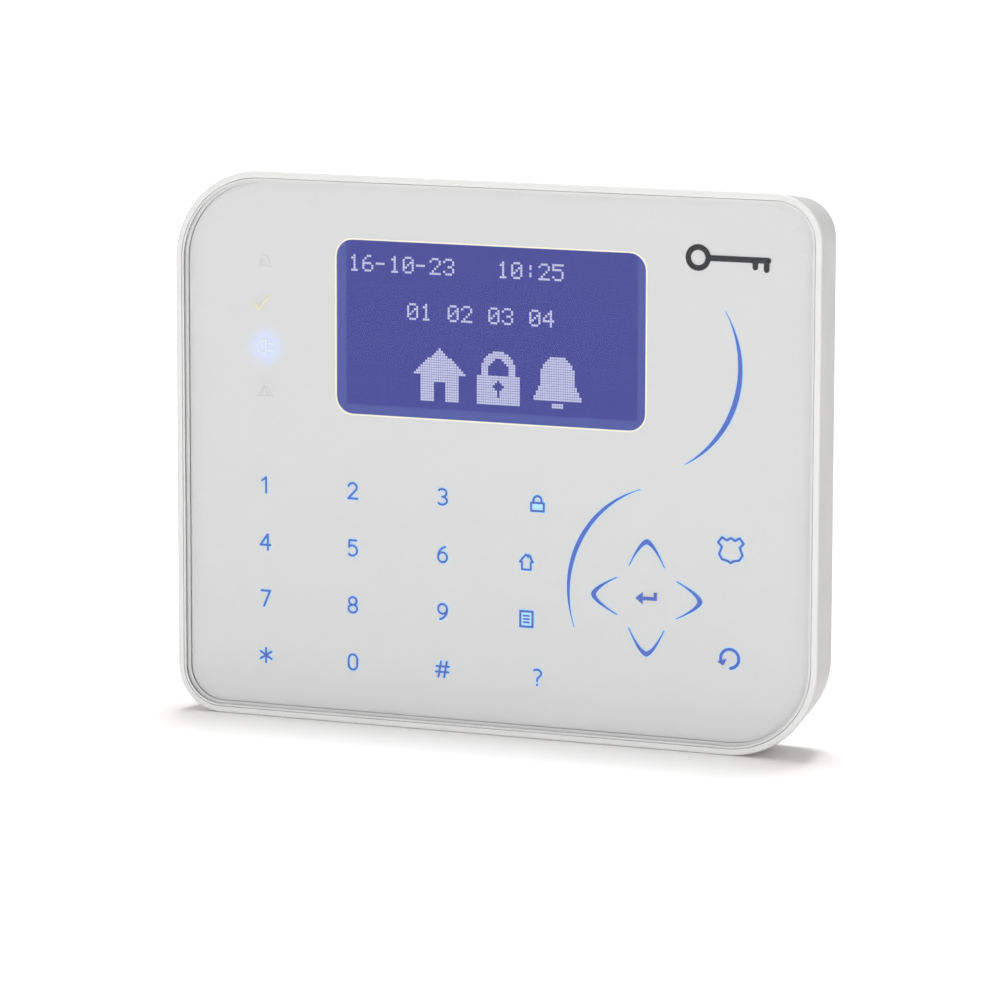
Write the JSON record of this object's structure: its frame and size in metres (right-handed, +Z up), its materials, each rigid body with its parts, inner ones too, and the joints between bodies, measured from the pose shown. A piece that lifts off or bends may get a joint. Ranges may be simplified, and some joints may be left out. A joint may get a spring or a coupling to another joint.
{
  "type": "alarm keypad",
  "caption": "Wall keypad of an alarm system: a slim white touch panel with a blue display, swinging off a screwed wall base.",
  "frame": {"origin": "middle of the wall base's flat back, on the wall's surface", "axes": "+X to the right as seen from the front, +Y into the wall, +Z up"},
  "size_m": [0.1474, 0.0175, 0.1186],
  "materials": {
    "white_abs": "fine moulded satin, slightly warm white",
    "clear_acrylic": "clear, polished, printed on its back",
    "white_print": "screen-printed white film with blue legends",
    "foam_tape": "black foam adhesive tape",
    "light_acrylic": "clear moulded, etched dots",
    "black_abs": "black moulded satin",
    "led": "clear epoxy over a pale phosphor",
    "lcd_blue": "blue transmissive display behind polished glass",
    "chip_epoxy": "black moulded epoxy",
    "backlight_white": "white moulded tray",
    "polyimide": "amber flexible circuit",
    "steel": "zinc-plated, satin",
    "solder_mask": "green solder mask on glass epoxy",
    "can_aluminium": "bright can",
    "terminal_green": "green polyamide",
    "brass": "tin-plated brass",
    "tamper_plastic": "dark grey acetal"
  },
  "bodies": {
    "wall_base": {"wall_base": "white_abs"},
    "front_unit": {"front_housing": "white_abs", "touch_lens": "clear_acrylic", "legend_film": "white_print", "lens_tape": "foam_tape", "light_guide": "light_acrylic", "status_baffle": "black_abs", "lcd_connector": "black_abs", "sounder": "black_abs", "service_header": "black_abs", "tamper_switch": "black_abs", "status_led_1": "led", "status_led_2": "led", "status_led_3": "led", "status_led_4": "led", "key_led_1": "led", "key_led_2": "led", "key_led_3": "led", "key_led_4": "led", "lcd_glass": "lcd_blue", "lcd_driver_chip": "chip_epoxy", "processor": "chip_epoxy", "bus_driver": "chip_epoxy", "memory_chip": "chip_epoxy", "touch_controller": "chip_epoxy", "regulator_coil": "chip_epoxy", "lcd_backlight": "backlight_white", "lcd_flex": "polyimide", "lcd_bracket": "steel", "tamper_spring": "steel", "bracket_screw_1": "steel", "bracket_screw_2": "steel", "bracket_screw_3": "steel", "bracket_screw_4": "steel", "board_screw_1": "steel", "board_screw_2": "steel", "board_screw_3": "steel", "board_screw_4": "steel", "board_screw_5": "steel", "board_screw_6": "steel", "terminal_screw_1": "steel", "terminal_screw_2": "steel", "terminal_screw_3": "steel", "terminal_screw_4": "steel", "main_board": "solder_mask", "filter_capacitor_1": "can_aluminium", "filter_capacitor_2": "can_aluminium", "filter_capacitor_3": "can_aluminium", "terminal_block": "terminal_green", "terminal_cage_1": "brass", "terminal_cage_2": "brass", "terminal_cage_3": "brass", "terminal_cage_4": "brass"},
    "tamper_plunger": {"tamper_plunger": "tamper_plastic"}
  },
  "joints": [
    {"name": "cover_swing", "type": "hinge", "parent": "wall_base", "child": "front_unit", "pos_m": [0, -0.001, 0.05498], "axis": [-1, 0, 0], "range_deg": [0, 30]},
    {"name": "tamper_press", "type": "slide", "parent": "front_unit", "child": "tamper_plunger", "axis": [0, -1, 0], "range_m": [0, 0.0015], "stiffness_N_per_m": 150, "deforming": ["tamper_spring"]}
  ]
}
